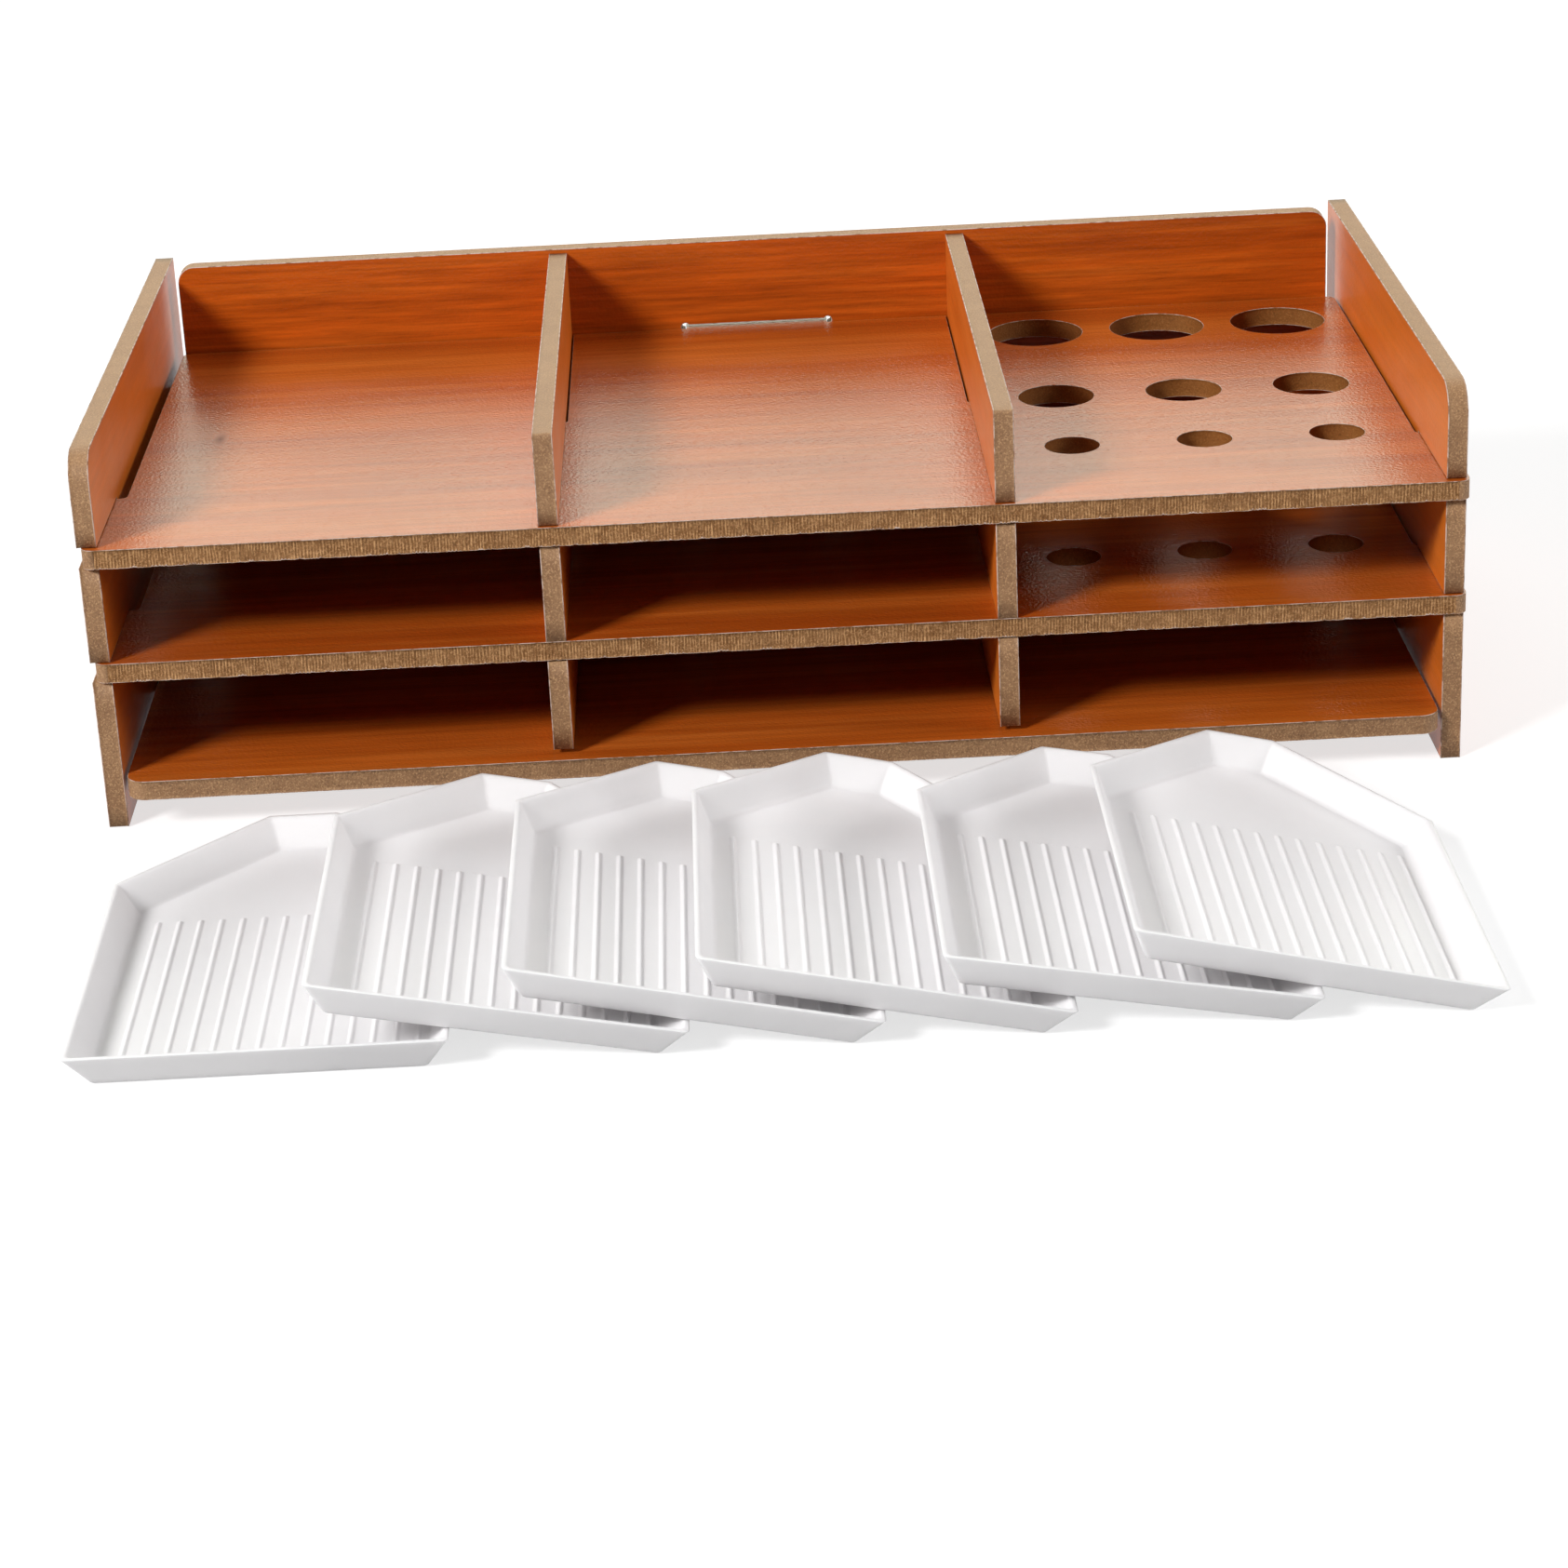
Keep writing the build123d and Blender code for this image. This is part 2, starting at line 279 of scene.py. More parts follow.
# Tones of raw board, as base, pale fleck and dark speck: plain edges, sawn fronts, drilled walls.
# The sawn fronts' darker tones are partly painted shade of the saw's grooves, and the drilled walls'
# darker tones are partly painted shade inside the holes.
CORE_TONES = ((0.235, 0.116, 0.049, 1), (0.57, 0.340, 0.165, 1), (0.070, 0.028, 0.010, 1))
SAWN_TONES = ((0.185, 0.077, 0.022, 1), (0.61, 0.345, 0.155, 1), (0.050, 0.018, 0.005, 1))
BORED_TONES = ((0.215, 0.076, 0.017, 1), (0.36, 0.150, 0.043, 1), (0.105, 0.036, 0.008, 1))
CUT_LINE_PALE, CUT_LINE_BROWN = (0.52, 0.39, 0.32, 1), (0.24, 0.125, 0.065, 1)
PLASTIC_LIGHT, PLASTIC_DULL = (0.880, 0.864, 0.870, 1), (0.855, 0.843, 0.852, 1)

FILM_CELLS, PLASTIC_CELLS = 1150.0, 1500.0   # skin cells to the metre
FILM_SKIN, CORE_SKIN, PLASTIC_SKIN = 0.0004, 0.0003, 0.0002   # full height of the skins, in metres
KNOT_CORE, KNOT_EDGE = 0.0003, 0.0024        # reach of the printed knot, in metres
KNOT = tuple((np.array([-143.5, 84.0, TOP_Z + BOARD]) + SET_SHIFT) * MM)
ALONG_X, ALONG_Y = (0, 0, 0), (0, 0, math.radians(90))


def film_material(name, turn, tones=FILM_TONES, rough=(0.18, 0.25), skin_depth=0.36, gloss=0.5, knot=None,
                  depth=0.55, closeness=1.0):
    """Glossy printed film: grain along one axis, pebbled skin, and a printed knot where one is given."""
    material, tree, shader = new_material(name)
    where = object_place(tree)
    along = place(tree, "ShaderNodeMapping",
                  {"Vector": where, "Rotation": turn, "Scale": (closeness,) * 3}).outputs[0]
    dark, mid, light = tones
    grain = use_group(tree, GRAIN,
                      {"Vector": along, "Dark": dark, "Mid": mid, "Light": light, "Depth": depth})
    skin = use_group(tree, PEBBLE, {"Vector": where, "Cells": FILM_CELLS})
    colour = grain["Color"]
    dullness = spread(tree, skin["Patch"], 0.3, 0.7, *rough)
    if knot is not None:
        drawn_out = (1.0, 0.36, 1.0)
        apart = vector_node(tree, "MULTIPLY", vector_node(tree, "SUBTRACT", where, knot), drawn_out)
        away = vector_node(tree, "LENGTH", apart, result="Value")
        mark = spread(tree, away, KNOT_CORE, KNOT_EDGE, 0.8, 0.0)
        colour = blend_colours(tree, mark, colour, KNOT_TONE)
        dullness = math_node(tree, "MULTIPLY_ADD", mark, 0.45, dullness)
    tree.links.new(colour, shader.inputs["Base Color"])
    tree.links.new(dullness, shader.inputs["Roughness"])
    raise_skin(tree, shader, skin["Height"], skin_depth, FILM_SKIN)
    shader.inputs["Specular IOR Level"].default_value = gloss
    return material


def core_material(name, tones, gloss=0.5, stripes=False):
    """Raw board edge: fibre flecks, a dry surface, a painted highlight that makes the edge paler where it
    faces up, and, where it was sawn, the upright stripes of a saw drawn as painted highlights and painted
    shade."""
    material, tree, shader = new_material(name)
    where = object_place(tree)
    base, pale, dark = tones
    fibre = use_group(tree, FIBRE, {"Vector": where, "Base": base, "Pale": pale, "Dark": dark})
    normal = place(tree, "ShaderNodeNewGeometry").outputs["Normal"]
    facing_up = place(tree, "ShaderNodeSeparateXYZ", {0: normal}).outputs["Z"]
    # Painted highlight: where the edge faces up it is blended towards the pale tone, as light from above
    # would make it.
    colour = blend_colours(tree, spread(tree, facing_up, 0.3, 0.9, 0.0, 0.22), fibre["Color"], pale)
    if stripes:
        drawn_up = place(tree, "ShaderNodeMapping", {"Vector": where, "Scale": (1.0, 1.0, 0.25)}).outputs[0]
        stripe = place(tree, "ShaderNodeTexWave",
                       {"Vector": drawn_up, "Scale": 400.0, "Distortion": 5.0, "Detail": 3.0,
                        "Detail Scale": 1.0},
                       wave_type="BANDS", bands_direction="X", wave_profile="SIN").outputs["Fac"]
        # Painted highlights on the stripes' crests, in patches, and painted shade in their troughs, for
        # light on the saw's strokes.
        highlight_patches = noise(tree, where, 520.0, 3.0, 0.65)
        painted_highlight = math_node(tree, "MULTIPLY", spread(tree, stripe, 0.60, 1.0), spread(tree, highlight_patches, 0.42, 0.64))
        colour = blend_colours(tree, math_node(tree, "MULTIPLY", painted_highlight, 0.85), colour, pale)
        colour = blend_colours(tree, spread(tree, stripe, 0.40, 0.05, 0.0, 0.22), colour, dark)
    tree.links.new(colour, shader.inputs["Base Color"])
    raise_skin(tree, shader, fibre["Height"], 0.5, CORE_SKIN)
    shader.inputs["Roughness"].default_value = 0.6
    shader.inputs["Specular IOR Level"].default_value = gloss
    return material


def film_edge_material():
    """The cut edge of the film: a pale pinkish line that browns in places."""
    material, tree, shader = new_material("film_edge")
    wear = noise(tree, object_place(tree), 420.0, 3.0, 0.65)
    colour = blend_colours(tree, spread(tree, wear, 0.46, 0.62), CUT_LINE_PALE, CUT_LINE_BROWN)
    tree.links.new(colour, shader.inputs["Base Color"])
    tree.links.new(spread(tree, wear, 0.3, 0.7, 0.40, 0.6), shader.inputs["Roughness"])
    return material


def tray_material():
    """White moulded plastic: satin, a little translucent, with a faint skin and slow changes of tone
    and gloss."""
    material, tree, shader = new_material("tray_plastic")
    skin = use_group(tree, PEBBLE, {"Vector": object_place(tree), "Cells": PLASTIC_CELLS})
    colour = blend_colours(tree, spread(tree, skin["Patch"], 0.35, 0.7), PLASTIC_LIGHT, PLASTIC_DULL)
    tree.links.new(colour, shader.inputs["Base Color"])
    tree.links.new(spread(tree, skin["Patch"], 0.3, 0.7, 0.40, 0.50), shader.inputs["Roughness"])
    raise_skin(tree, shader, skin["Height"], 0.05, PLASTIC_SKIN)
    shader.inputs["Specular IOR Level"].default_value = 0.3
    shader.inputs["Subsurface Weight"].default_value = 0.7
    shader.inputs["Subsurface Radius"].default_value = (1.0, 1.0, 1.0)
    shader.inputs["Subsurface Scale"].default_value = 0.003
    return material


FILM_ACROSS = film_material("film_across", ALONG_X)
FILM_TOP = film_material("film_top", ALONG_X, knot=KNOT)
FILM_BACK = film_material("film_back", ALONG_X, BACK_TONES, rough=(0.20, 0.27), skin_depth=0.18, depth=1.1,
                          closeness=1.5)
# The sides and dividers use a brighter copy of the print: painted light on their faces.
FILM_DEEP = film_material("film_deep", ALONG_Y, UPRIGHT_PAINTED_LIGHT_TONES, rough=(0.30, 0.38), skin_depth=0.25, gloss=0.4,
                          depth=0.32)
CORE = core_material("board_core", CORE_TONES)
SAWN = core_material("sawn_core", SAWN_TONES, gloss=0.2, stripes=True)
BORED = core_material("bored_core", BORED_TONES, gloss=0.12)
FILM_EDGE = film_edge_material()
PLASTIC = tray_material()


# Mesh tools
def lay_piece(name, points, faces, kinds, smooth, materials, body, node):
    """Put points (millimetres) and faces into a mesh object at the origin and tie it to its body."""
    mesh = bpy.data.meshes.new(name)
    corners = np.concatenate([f.ravel() for f in faces]).astype(np.int32)
    sizes = np.concatenate([np.full(len(f), f.shape[1]) for f in faces]).astype(np.int32)
    starts = np.concatenate([[0], np.cumsum(sizes)[:-1]]).astype(np.int32)
    mesh.vertices.add(len(points))
    mesh.vertices.foreach_set("co", ((points + SET_SHIFT) * MM).astype(np.float32).ravel())
    mesh.loops.add(len(corners))
    mesh.loops.foreach_set("vertex_index", corners)
    mesh.polygons.add(len(sizes))
    mesh.polygons.foreach_set("loop_start", starts)
    mesh.polygons.foreach_set("material_index", np.concatenate(kinds).astype(np.int32))
    mesh.polygons.foreach_set("use_smooth", np.concatenate(smooth).astype(bool))
    for material in materials:
        mesh.materials.append(material)
    mesh.update(calc_edges=True)
    mesh.validate()
    piece = bpy.data.objects.new(name, mesh)
    bpy.context.scene.collection.objects.link(piece)
    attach(piece, body)
    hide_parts(node)


def fill_plane(loops, up):
    """Triangles over a flat area between a rim and its holes, facing up or down; each loop is an array
    of 2-D points, and the triangles number the points of all loops in turn."""
    flat = np.concatenate(loops)
    level_with_zero = ((0, 0), (0, 1))
    found = tessellate_polygon([np.pad(loop, level_with_zero).tolist() for loop in loops])
    tri = np.array(found, dtype=np.int64)
    p, q, r = flat[tri[:, 0]], flat[tri[:, 1]], flat[tri[:, 2]]
    turn = (q[:, 0] - p[:, 0]) * (r[:, 1] - p[:, 1]) - (q[:, 1] - p[:, 1]) * (r[:, 0] - p[:, 0])
    wrong = turn < 0 if up else turn > 0
    tri[wrong] = tri[wrong][:, ::-1]
    return tri


def ring_faces(count, rows, first=0):
    """Quads between the rows of a closed ring whose points are numbered row by row."""
    i = np.arange(count)
    j = np.arange(rows - 1)[:, None]
    a = first + j * count + i
    b = first + j * count + (i + 1) % count
    return np.stack([a, b, b + count, a + count], axis=-1).reshape(-1, 4)


def swung(arm, angle):
    """Arms turned by angles: x cos - y sin, x sin + y cos."""
    return np.stack([arm[..., 0] * np.cos(angle) - arm[..., 1] * np.sin(angle),
                     arm[..., 0] * np.sin(angle) + arm[..., 1] * np.cos(angle)], axis=-1)


def corner_arcs(p, r):
    """For closed lines of corners p (the last two axes are corner and a, b): where an arc of radius r
    begins at each corner, its centre, the angle that it turns through and the direction of the run out.
    It begins r times the tangent of half the turn before the corner."""
    u = p - np.roll(p, 1, axis=-2)
    v = np.roll(p, -1, axis=-2) - p
    u = u / np.linalg.norm(u, axis=-1, keepdims=True)
    v = v / np.linalg.norm(v, axis=-1, keepdims=True)
    turn = np.arctan2(u[..., 0] * v[..., 1] - u[..., 1] * v[..., 0], (u * v).sum(axis=-1))
    start = p - u * (r * np.tan(np.abs(turn) / 2))[..., None]
    left = np.stack([-u[..., 1], u[..., 0]], axis=-1)
    return start, start + (r * np.sign(turn))[..., None] * left, turn, v


def rounded_line(corners, steps):
    """A closed line through corners (a, b, radius): each corner is an arc that touches both runs, and
    the run after corner k is divided at about steps[k]. Returns the points and each point's run."""
    corners = np.asarray(corners, dtype=float)
    p, r = corners[:, :2], corners[:, 2]
    start, middle, turn, v = corner_arcs(p, r)
    end = p + v * (r * np.tan(np.abs(turn) / 2))[:, None]
    pieces, runs = [], []
    for k in range(len(p)):
        if r[k] > 0:
            arc = swung(start[k] - middle[k], turn[k] * np.linspace(0, 1, ARC_POINTS)) + middle[k]
        else:
            arc = p[k:k + 1]
        to = start[(k + 1) % len(p)]
        length = np.linalg.norm(to - end[k])
        parts = max(1, int(round(length / steps[k])))
        share = np.linspace(0, 1, parts + 1)[1:-1, None]
        pieces += [arc, end[k] + share * (to - end[k])]
        runs += [np.full(len(arc), NO_RUN), np.full(parts - 1, k)]
    return np.concatenate(pieces), np.concatenate(runs)


def drilled(a, b, r):
    """A round hole, run clockwise so that its wall faces inwards."""
    angle = -2 * np.pi * np.arange(HOLE_POINTS) / HOLE_POINTS
    line = np.stack([a + r * np.cos(angle), b + r * np.sin(angle)], axis=1)
    return line, np.full(HOLE_POINTS, BORED_RUN)


def outward(line):
    """Mitred outward direction at each point of a closed line: the mean of both runs' normals."""
    run = np.roll(line, -1, axis=0) - line
    n = np.stack([run[:, 1], -run[:, 0]], axis=1) / np.linalg.norm(run, axis=1)[:, None]
    both = n + np.roll(n, 1, axis=0)
    return 2 * both / np.maximum((both ** 2).sum(axis=1), 1.0)[:, None]


# Boards
# A board's edge from its lower to its upper face, as (drawn in, level from the middle): a rounded film
# arris, the film's cut line, the core, and the same again. The kinds say what lies between two rows.
EDGE_IN = np.array([0.20, 0.09, 0.02, 0.0, 0.0, 0.04, 0.05, 0.05,
                    0.05, 0.05, 0.04, 0.0, 0.0, 0.02, 0.09, 0.20])
EDGE_LEVEL = np.array([-2.5, -2.48, -2.42, -2.36, -2.24, -2.18, -1.4, -0.5,
                       0.5, 1.4, 2.18, 2.24, 2.36, 2.42, 2.48, 2.5])
FILM_FROM = 2.0          # past this level the rows belong to the film and its cut line
FILM, CORE_KIND, LINE, SAWN_KIND, BORED_KIND = 0, 1, 2, 3, 4
EDGE_KIND = np.array([LINE] * 4 + [CORE_KIND] * 7 + [LINE] * 4)
# Rows of the edge that the saw marks: the lowest, the lower cut line and its upper edge, and the core.
LOWEST_ROW, LOWER_LINE, LOWER_ROWS = 0, slice(1, 5), slice(1, 6)
LINE_TOP, CORE_ROWS = slice(4, 6), slice(5, 11)
NO_RUN, BORED_RUN = -1, -2   # marks of points on no straight run, and of a drilled hole's line
FRONT_RUN = 0            # the first run of a shelf's outline is its front

# Saw marks on a shelf's front
STROKE = 0.8             # pitch of the strokes
SWAY = 1.2               # how far the pitch sways, in strokes
STROKE_LEAST, STROKE_MORE = 0.06, 0.16   # depth of the strokes
GRIT = 0.08              # fine unevenness over the strokes
TEAR_FROM, TEAR_SHARE = 0.66, 0.5        # deeper tears: where they begin and how deep they go
TOOTH = 0.30             # height of the chips in the lower film line, one to a stroke
NICK_FROM, NICK = 0.5, 0.45              # loose chips: where they begin and how high they go
CHIP_OPEN = 0.12         # how much further the cut line's upper edge rises over a chip
LINE_TORN = 0.12         # how unevenly the film line is torn
CHIP_DEPTH = 1.2         # how far in the chips run
SWAY_PITCH, DEPTH_PITCH, GRIT_PITCH, TEAR_PITCH, NICK_PITCH = 5.0, 2.4, 0.45, 2.6, 0.7
LINE_SHOWN = 0.6         # share of the film's cut line that shows on the shelves
BOTTOM_ROUGHNESS = 0.35  # the bottom shelf's front is cut more smoothly
SAWN_FROM = 0.5          # a run at least this rough shows the saw's stripes


def wander(rng, at, pitch):
    """Smooth random line: random heights at every pitch, joined straight."""
    knots = np.arange(at.min() - 2 * pitch, at.max() + 2 * pitch, pitch)
    return np.interp(at, knots, rng.random(len(knots)))


def saw_marks(rng, line, sawn):
    """How far a sawn edge is eaten in, point by point and row by row: upright strokes that follow a
    cosine of a swaying pitch, deeper tears here and there, and chips out of the lower film line. The
    lowest row keeps its level and is drawn in behind the chips."""
    at = np.concatenate([[0], np.cumsum(np.linalg.norm(np.diff(line, axis=0), axis=1))])
    phase = 2 * np.pi * (at / STROKE + SWAY * wander(rng, at, SWAY_PITCH))
    wave = 0.5 + 0.5 * np.cos(phase)
    stroke = wave * (STROKE_LEAST + STROKE_MORE * wander(rng, at, DEPTH_PITCH))
    stroke = stroke + GRIT * wander(rng, at, GRIT_PITCH)
    tear = np.maximum(wander(rng, at, TEAR_PITCH) - TEAR_FROM, 0) * TEAR_SHARE
    lean = np.stack([np.roll(stroke, k) for k in (0, 0, 1, 1, 2, 2)], axis=1)
    marks = np.zeros((len(line), len(EDGE_IN)))
    marks[:, CORE_ROWS] = lean + tear[:, None]
    marks *= sawn[:, None]
    level = np.repeat(EDGE_LEVEL[None, :], len(line), axis=0)
    teeth = wave * wander(rng, at, DEPTH_PITCH) * TOOTH
    chip = (teeth + np.maximum(wander(rng, at, NICK_PITCH) - NICK_FROM, 0) * NICK) * sawn
    level[:, LOWER_ROWS] += chip[:, None]
    level[:, LINE_TOP] += CHIP_OPEN * chip[:, None]
    marks[:, LOWER_LINE] += (wander(rng, at, NICK_PITCH) * LINE_TORN * sawn)[:, None]
    marks[:, LOWEST_ROW] += CHIP_DEPTH * sawn
    return marks, level


def board(name, loops, to_space, film, sawn_runs=(), seed=1, cut=1.0, rough_cut=1.0):
    """A flat board: the edge profile carried round the outline and round every hole, and the two
    faces filled between the loops. to_space turns (a, b, level) into x, y, z, cut is the share of
    the film's cut line that shows, and rough_cut is how deep the saw's strokes are in a sawn run."""
    rng = np.random.default_rng(seed)
    points, faces, kinds, smooth = [], [], [], []
    rims = ([], [])
    starts, first = [], 0
    rows = len(EDGE_IN)
    half = BOARD / 2
    for line, runs in loops:
        sawn = np.isin(runs, sawn_runs) * rough_cut
        bored = runs[0] == BORED_RUN
        marks, level = saw_marks(rng, line, sawn)
        shown = np.where(np.abs(level) > FILM_FROM, cut, 1.0)
        level = np.sign(level) * (half - (half - np.abs(level)) * shown)
        eaten = EDGE_IN[None, :] * cut + marks
        spots = line[:, None, :] - outward(line)[:, None, :] * eaten[:, :, None]
        stack = np.concatenate([spots, level[:, :, None]], axis=2).transpose(1, 0, 2)
        points.append(stack.reshape(-1, 3))
        faces.append(ring_faces(len(line), rows, first))
        kind = np.repeat(EDGE_KIND[:, None], len(line), axis=1)
        kind = np.where((kind == CORE_KIND) & (sawn > SAWN_FROM)[None, :], SAWN_KIND, kind)
        kinds.append(np.where((kind == CORE_KIND) & bored, BORED_KIND, kind).ravel())
        smooth.append(np.ones(len(line) * (rows - 1)))
        rims[0].append(stack[0, :, :2])
        rims[1].append(stack[-1, :, :2])
        starts.append((first, first + (rows - 1) * len(line), len(line)))
        first += rows * len(line)
    for top in (0, 1):
        number = np.concatenate([np.arange(s[2]) + s[top] for s in starts])
        tri = number[fill_plane(rims[top], up=bool(top))]
        faces.append(tri)
        kinds.append(np.full(len(tri), FILM))
        smooth.append(np.zeros(len(tri)))
    lay_piece(name + "_board", to_space(np.concatenate(points)), faces, kinds, smooth,
              [film, CORE, FILM_EDGE, SAWN, BORED], "rack", name)


def plain(line):
    """A slot's line with no sawn run."""
    return line, np.full(len(line), NO_RUN)


def slot_line(a0, a1, b0, b1):
    """A square slot through a board, run clockwise."""
    return plain(np.array([(a0, b0), (a0, b1), (a1, b1), (a1, b0)], dtype=float))


def lying(z):
    """A shelf: a runs across, b runs back."""
    return lambda p: np.stack([p[:, 0], p[:, 1], z + BOARD / 2 + p[:, 2]], axis=1)


def upright(x):
    """A side or divider: a runs back, b runs up."""
    return lambda p: np.stack([x + p[:, 2], p[:, 0], p[:, 1]], axis=1)


def facing(y):
    """The back panel: a runs across, b runs up."""
    return lambda p: np.stack([p[:, 0], y + BOARD / 2 - p[:, 2], p[:, 1]], axis=1)


def back_tongue(back):
    """Corners of a shelf's tongue in the back panel, from right to left."""
    return [(TONGUE_HALF, back, 0), (TONGUE_HALF, TONGUE_END, 0), (-TONGUE_HALF, TONGUE_END, 0),
            (-TONGUE_HALF, back, 0)]


def shelf(name, z, proud, rows, film, seed):
    """A shelf with ears in front, two lap slots and a tongue behind, and its rows of holes."""
    back = PANEL_FRONT - JOINT
    ears = SHELF_MID - EAR_HALF, SHELF_MID + EAR_HALF
    ends = SHELF_MID - SHELF_HALF, SHELF_MID + SHELF_HALF
    corners = [(ears[0], -proud, EAR_ROUND), (ears[1], -proud, EAR_ROUND), (ears[1], EAR_DEPTH, EAR_ROUND),
               (ends[1], EAR_DEPTH, EAR_FILLET), (ends[1], back, SHELF_ROUND)]
    laps = [[(x + LAP_HALF, back, 0), (x + LAP_HALF, LAP_Y, LAP_ROUND), (x - LAP_HALF, LAP_Y, LAP_ROUND),
             (x - LAP_HALF, back, 0)] for x in DIVIDER_X]
    corners += laps[1] + back_tongue(back) + laps[0]
    corners += [(ends[0], back, SHELF_ROUND), (ends[0], EAR_DEPTH, EAR_FILLET),
                (ears[0], EAR_DEPTH, EAR_ROUND)]
    loops = [rounded_line(corners, [SAWN_STEP] + [FLAT_STEP] * (len(corners) - 1))]
    loops += [drilled(x, y, r) for y, r in rows for x in HOLE_COLUMNS]
    board(name, loops, lying(z), film, FRONT_RUN, seed, LINE_SHOWN)


def bottom_shelf(seed):
    """The bottom shelf with end tongues, a back tongue and two foot slots."""
    half, end, back = BOTTOM_HALF, END_TONGUE, PANEL_FRONT
    corners = [(-half, BOTTOM_FRONT, BOTTOM_ROUND), (half, BOTTOM_FRONT, BOTTOM_ROUND),
               (half, TONGUE_FROM, 0), (end, TONGUE_FROM, 0), (end, TONGUE_TO, 0), (half, TONGUE_TO, 0),
               (half, back, 0)]
    corners += back_tongue(back)
    corners += [(-half, back, 0), (-half, TONGUE_TO, 0), (-end, TONGUE_TO, 0), (-end, TONGUE_FROM, 0),
                (-half, TONGUE_FROM, 0)]
    loops = [rounded_line(corners, [SAWN_STEP] + [FLAT_STEP] * (len(corners) - 1))]
    loops += [slot_line(x - FOOT_SLOT_HALF, x + FOOT_SLOT_HALF, TONGUE_FROM - PLAY, TONGUE_TO + PLAY)
              for x in DIVIDER_X]
    board("bottom_shelf", loops, lying(BOTTOM_Z), FILM_ACROSS, FRONT_RUN, seed, LINE_SHOWN, BOTTOM_ROUGHNESS)


def side(name, x, seed):
    """A side: two open notches in front, one slot for the bottom shelf and one for the back panel."""
    corners = [(0, 0, 0), (SIDE_DEPTH, 0, 0), (SIDE_DEPTH, SIDE_TOP, 0), (0, SIDE_TOP, SIDE_ROUND)]
    for z in (TOP_Z, MIDDLE_Z):
        high = z + BOARD + PLAY
        corners += [(0, high, 0), (NOTCH_DEPTH, high, 0), (NOTCH_DEPTH, z, 0), (0, z, 0)]
    loops = [rounded_line(corners, [UPRIGHT_STEP] * len(corners)),
             slot_line(TONGUE_FROM - PLAY, TONGUE_TO + PLAY, BOTTOM_Z, BOTTOM_Z + BOARD + PLAY),
             slot_line(PANEL_FRONT - PLAY, PANEL_FRONT + BOARD + PLAY,
                       PANEL_TONGUE_LOW, PANEL_TONGUE_TOP + PLAY)]
    board(name, loops, upright(x), FILM_DEEP, seed=seed)


def divider(name, x, seed):
    """A divider: two notches from the front and a foot tongue."""
    front = DIVIDER_FRONT
    corners = [(front, DIVIDER_LOW, 0), (TONGUE_FROM, DIVIDER_LOW, 0), (TONGUE_FROM, DIVIDER_FOOT, 0),
               (TONGUE_TO, DIVIDER_FOOT, 0), (TONGUE_TO, DIVIDER_LOW, 0), (PANEL_FRONT, DIVIDER_LOW, 0),
               (PANEL_FRONT, SIDE_TOP, 0), (front, SIDE_TOP, DIVIDER_ROUND)]
    for low, high in (TOP_LAP, MIDDLE_LAP):
        corners += [(front, high, 0), (LAP_Y, high, 0), (LAP_Y, low, 0), (front, low, 0)]
    board(name, [rounded_line(corners, [UPRIGHT_STEP] * len(corners))], upright(x), FILM_DEEP, seed=seed)


def relieved_slot(z):
    """A back slot for a shelf's tongue: a rectangle with a round relief at each corner, clockwise."""
    wide, r = TONGUE_HALF + PLAY, RELIEF_ROUND
    low, high = z - PLAY + r / 2, z + BOARD + SLOT_HEADROOM - r / 2
    arcs = []
    for a, b, begin in ((wide, low, 210), (wide, high, 270), (-wide, high, 30), (-wide, low, 90)):
        angle = np.radians(np.linspace(begin, begin + 240, RELIEF_POINTS))
        arcs.append(np.stack([a + r * np.cos(angle), b + r * np.sin(angle)], axis=1))
    return plain(np.concatenate(arcs)[::-1])


def back_panel(seed):
    """The back panel: rounded corners, an end tongue each side, three relieved slots."""
    half, end = PANEL_HALF, END_TONGUE
    low, high = PANEL_TONGUE_LOW, PANEL_TONGUE_TOP
    corners = [(-half, PANEL_LOW, PANEL_ROUND), (half, PANEL_LOW, PANEL_ROUND),
               (half, low, 0), (end, low, 0), (end, high, 0), (half, high, 0),
               (half, PANEL_TOP, PANEL_ROUND), (-half, PANEL_TOP, PANEL_ROUND),
               (-half, high, 0), (-end, high, 0), (-end, low, 0), (-half, low, 0)]
    loops = [rounded_line(corners, [FLAT_STEP] * len(corners))]
    loops += [relieved_slot(z) for z in (BOTTOM_Z, MIDDLE_Z, TOP_Z)]
    board("back_panel", loops, facing(PANEL_FRONT), FILM_BACK, seed=seed)


shelf("top_shelf", TOP_Z, TOP_PROUD, (SMALL_ROW, MEDIUM_ROW, LARGE_ROW), FILM_TOP, seed=11)
shelf("middle_shelf", MIDDLE_Z, MIDDLE_PROUD, (SMALL_ROW,), FILM_ACROSS, seed=21)
bottom_shelf(seed=31)
side("left_side", -HALF_WIDTH + BOARD / 2, seed=51)
side("right_side", HALF_WIDTH - BOARD / 2, seed=52)
divider("left_divider", DIVIDER_X[0], seed=61)
divider("right_divider", DIVIDER_X[1], seed=62)
back_panel(seed=41)


# Trays
WALL_LEAN = TRAY_FLARE / TRAY_HEIGHT
WALL_FOOT = TRAY_WALL + WALL_LEAN * (TRAY_HEIGHT - TRAY_FLOOR)   # where the inner wall meets the floor
# The wall's section, as (drawn in, height): the base's edge from the flare's foot, and the rim.
BASE_EDGE = np.array([[0.55, 0.0], [0.16, 0.05], [-0.06, 0.2]])
OUTER_HEIGHTS = np.array([0.35, 1.0, 4.5, 7.6, 8.15])
RIM = np.array([[0.10, 8.36], [0.30, 8.47], [0.55, 8.5], [0.90, 8.5], [1.16, 8.45], [1.42, 8.28]])
INNER_HEIGHTS = np.array([7.9, 6.8, 4.5, 3.0, 2.6])
HOLLOW = 0.85            # reach of the hollow between wall and floor
